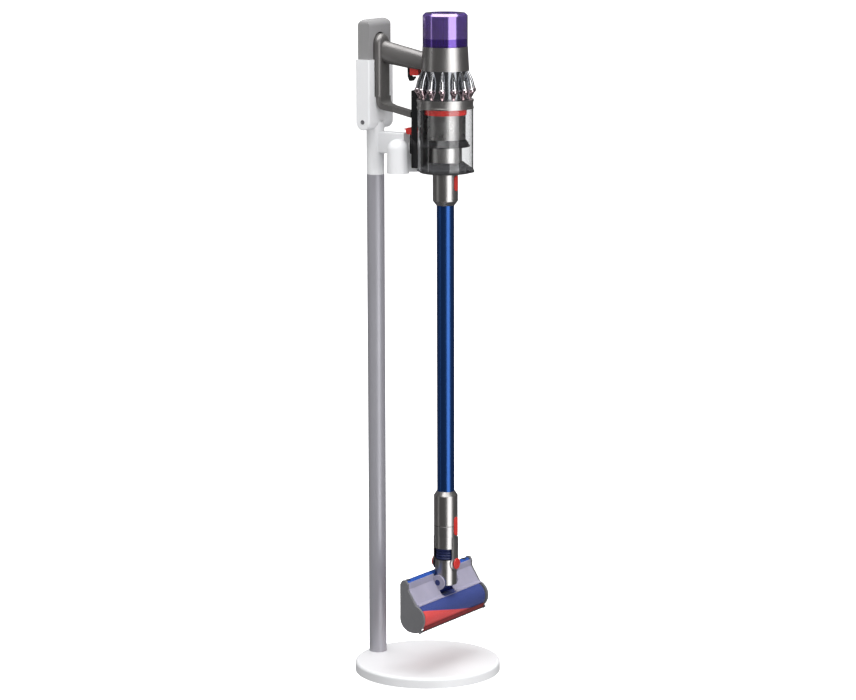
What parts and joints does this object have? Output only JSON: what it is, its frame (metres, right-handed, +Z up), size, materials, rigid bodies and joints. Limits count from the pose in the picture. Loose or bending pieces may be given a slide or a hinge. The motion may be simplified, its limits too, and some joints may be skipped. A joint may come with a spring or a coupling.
{
  "type": "cordless stick vacuum",
  "caption": "Cordless stick vacuum with cyclone bin, wand and soft-roller head, docked on a round-based charging stand; it pulls off, and its head, rollers and buttons move.",
  "frame": {"origin": "centre of the stand's round base, on the floor", "axes": "+Z up; +X from the pole towards the vacuum; +Y towards the vacuum's far side"},
  "size_m": [0.3, 0.3, 1.3615],
  "materials": {
    "white_plastic": "smooth white moulding",
    "light_grey": "satin light grey moulding",
    "pole_grey": "satin grey lacquer",
    "weight_iron": "bare casting",
    "mat_rubber": "soft black rubber",
    "screw_steel": "plated",
    "silver_paint": "satin metallic",
    "gunmetal": "satin gunmetal moulding",
    "black_plastic": "glossy black",
    "chrome": "rose tinted plating",
    "dark_chrome": "smoked plating",
    "red_plastic": "glossy red",
    "clear_plastic": "clear polycarbonate",
    "display_glass": "dark glass",
    "mesh_steel": "fine perforated steel",
    "purple_clear": "translucent purple",
    "filter_paper": "pleated",
    "copper_core": "windings",
    "cell_wrap": "shrink wrap",
    "blue_tube": "blue anodised",
    "silver_tube": "satin silver",
    "navy_plastic": "dark blue moulding",
    "blue_clear": "translucent blue",
    "cap_grey": "matt grey moulding",
    "dark_plastic": "dark moulding",
    "roller_nap": "soft woven nap, red and blue"
  },
  "bodies": {
    "stand": {"base_plate": "white_plastic", "base_weight": "weight_iron", "base_mat": "mat_rubber", "pole": "pole_grey", "column": "white_plastic", "tool_holder": "white_plastic", "dock_housing": "white_plastic", "dock_insert": "light_grey", "housing_screws": "screw_steel", "charge_inlet": "black_plastic"},
    "vacuum": {"motor_housing": "silver_paint", "display_column": "gunmetal", "display_window": "display_glass", "stator": "copper_core", "motor_bearings": "screw_steel", "cyclone_body": "dark_chrome", "cyclone_hoops": "chrome", "cyclone_cones": "chrome", "cyclone_band": "silver_paint", "bin_rail": "black_plastic", "shroud_collar": "red_plastic", "shroud": "mesh_steel", "shroud_skirt": "black_plastic", "inlet_duct": "silver_paint", "grip_near": "gunmetal", "grip_far": "gunmetal", "trigger_guard": "black_plastic", "battery_case": "gunmetal", "battery_cells": "cell_wrap", "handle_strut": "gunmetal"},
    "bin": {"bin_cylinder": "clear_plastic", "bin_door": "dark_plastic", "door_hinge_pin": "screw_steel"},
    "filter": {"filter_shell": "purple_clear", "filter_pleats": "filter_paper"},
    "rotor": {"impeller": "dark_plastic", "motor_shaft": "screw_steel"},
    "trigger": {"trigger": "red_plastic"},
    "mode_button": {"mode_button": "dark_plastic"},
    "bin_release": {"bin_release": "red_plastic"},
    "wand": {"wand_top_collar": "silver_tube", "wand_tube": "blue_tube", "wand_end_collar": "silver_tube"},
    "wand_button": {"wand_button": "red_plastic"},
    "head_button": {"head_button": "red_plastic"},
    "neck": {"neck_yoke": "silver_tube", "pivot_caps": "red_plastic", "neck_hose": "navy_plastic"},
    "lower_neck": {"neck_tube": "silver_tube", "elbow_drum": "navy_plastic"},
    "head": {"head_hood": "clear_plastic", "rear_bar": "blue_clear", "head_frame": "dark_plastic", "end_cap_near": "cap_grey", "end_cap_far": "cap_grey", "roller_motor": "dark_plastic"},
    "roller": {"roller_core": "dark_plastic", "roller_sleeve": "roller_nap"},
    "wheel_near": {"wheel_near": "mat_rubber"},
    "wheel_far": {"wheel_far": "mat_rubber"}
  },
  "joints": [
    {"name": "vacuum_undock", "type": "slide", "parent": "stand", "child": "vacuum", "axis": [1, 0, 0], "range_m": [0, 0.12]},
    {"name": "bin_slide", "type": "slide", "parent": "vacuum", "child": "bin", "axis": [0, 0, -1], "range_m": [0, 0.02]},
    {"name": "filter_twist", "type": "hinge", "parent": "vacuum", "child": "filter", "pos_m": [0.045, 0, 1.33], "axis": [0, 0, 1], "range_deg": [0, 30]},
    {"name": "rotor_spin", "type": "hinge", "parent": "vacuum", "child": "rotor", "pos_m": [0.045, 0, 1.26], "axis": [0, 0, 1], "continuous": true},
    {"name": "trigger_pull", "type": "slide", "parent": "vacuum", "child": "trigger", "axis": [0, 0, 1], "range_m": [0, 0.004], "stiffness_N_per_m": 400, "springref_m": -0.002},
    {"name": "mode_press", "type": "slide", "parent": "vacuum", "child": "mode_button", "axis": [0, 0, -1], "range_m": [0, 0.001], "stiffness_N_per_m": 800, "springref_m": -0.001},
    {"name": "bin_release_push", "type": "slide", "parent": "vacuum", "child": "bin_release", "axis": [0, 0, -1], "range_m": [0, 0.006], "stiffness_N_per_m": 300, "springref_m": -0.004},
    {"name": "wand_pull", "type": "slide", "parent": "vacuum", "child": "wand", "axis": [0, 0, -1], "range_m": [0, 0.0365]},
    {"name": "wand_button_press", "type": "slide", "parent": "wand", "child": "wand_button", "axis": [-1, 0, 0], "range_m": [0, 0.0018], "stiffness_N_per_m": 800, "springref_m": -0.001},
    {"name": "head_button_press", "type": "slide", "parent": "wand", "child": "head_button", "axis": [-1, 0, 0], "range_m": [0, 0.0018], "stiffness_N_per_m": 800, "springref_m": -0.001},
    {"name": "head_pull", "type": "slide", "parent": "wand", "child": "neck", "axis": [0, 0, -1], "range_m": [0, 0.0372]},
    {"name": "neck_steer", "type": "hinge", "parent": "neck", "child": "lower_neck", "pos_m": [0.045, 0, 0.2345], "axis": [1, 0, 0], "range_deg": [-35, 35], "deforming": ["neck_hose"]},
    {"name": "head_pitch", "type": "hinge", "parent": "lower_neck", "child": "head", "pos_m": [0.042, 0, 0.196], "axis": [0, -1, 0], "range_deg": [0, 80]},
    {"name": "roller_spin", "type": "hinge", "parent": "head", "child": "roller", "pos_m": [0.0425, 0, 0.141], "axis": [0, 1, 0], "continuous": true},
    {"name": "wheel_near_spin", "type": "hinge", "parent": "head", "child": "wheel_near", "pos_m": [0.0196, -0.106, 0.2115], "axis": [0, 1, 0], "continuous": true},
    {"name": "wheel_far_spin", "type": "hinge", "parent": "head", "child": "wheel_far", "pos_m": [0.0196, 0.106, 0.2115], "axis": [0, 1, 0], "continuous": true}
  ]
}
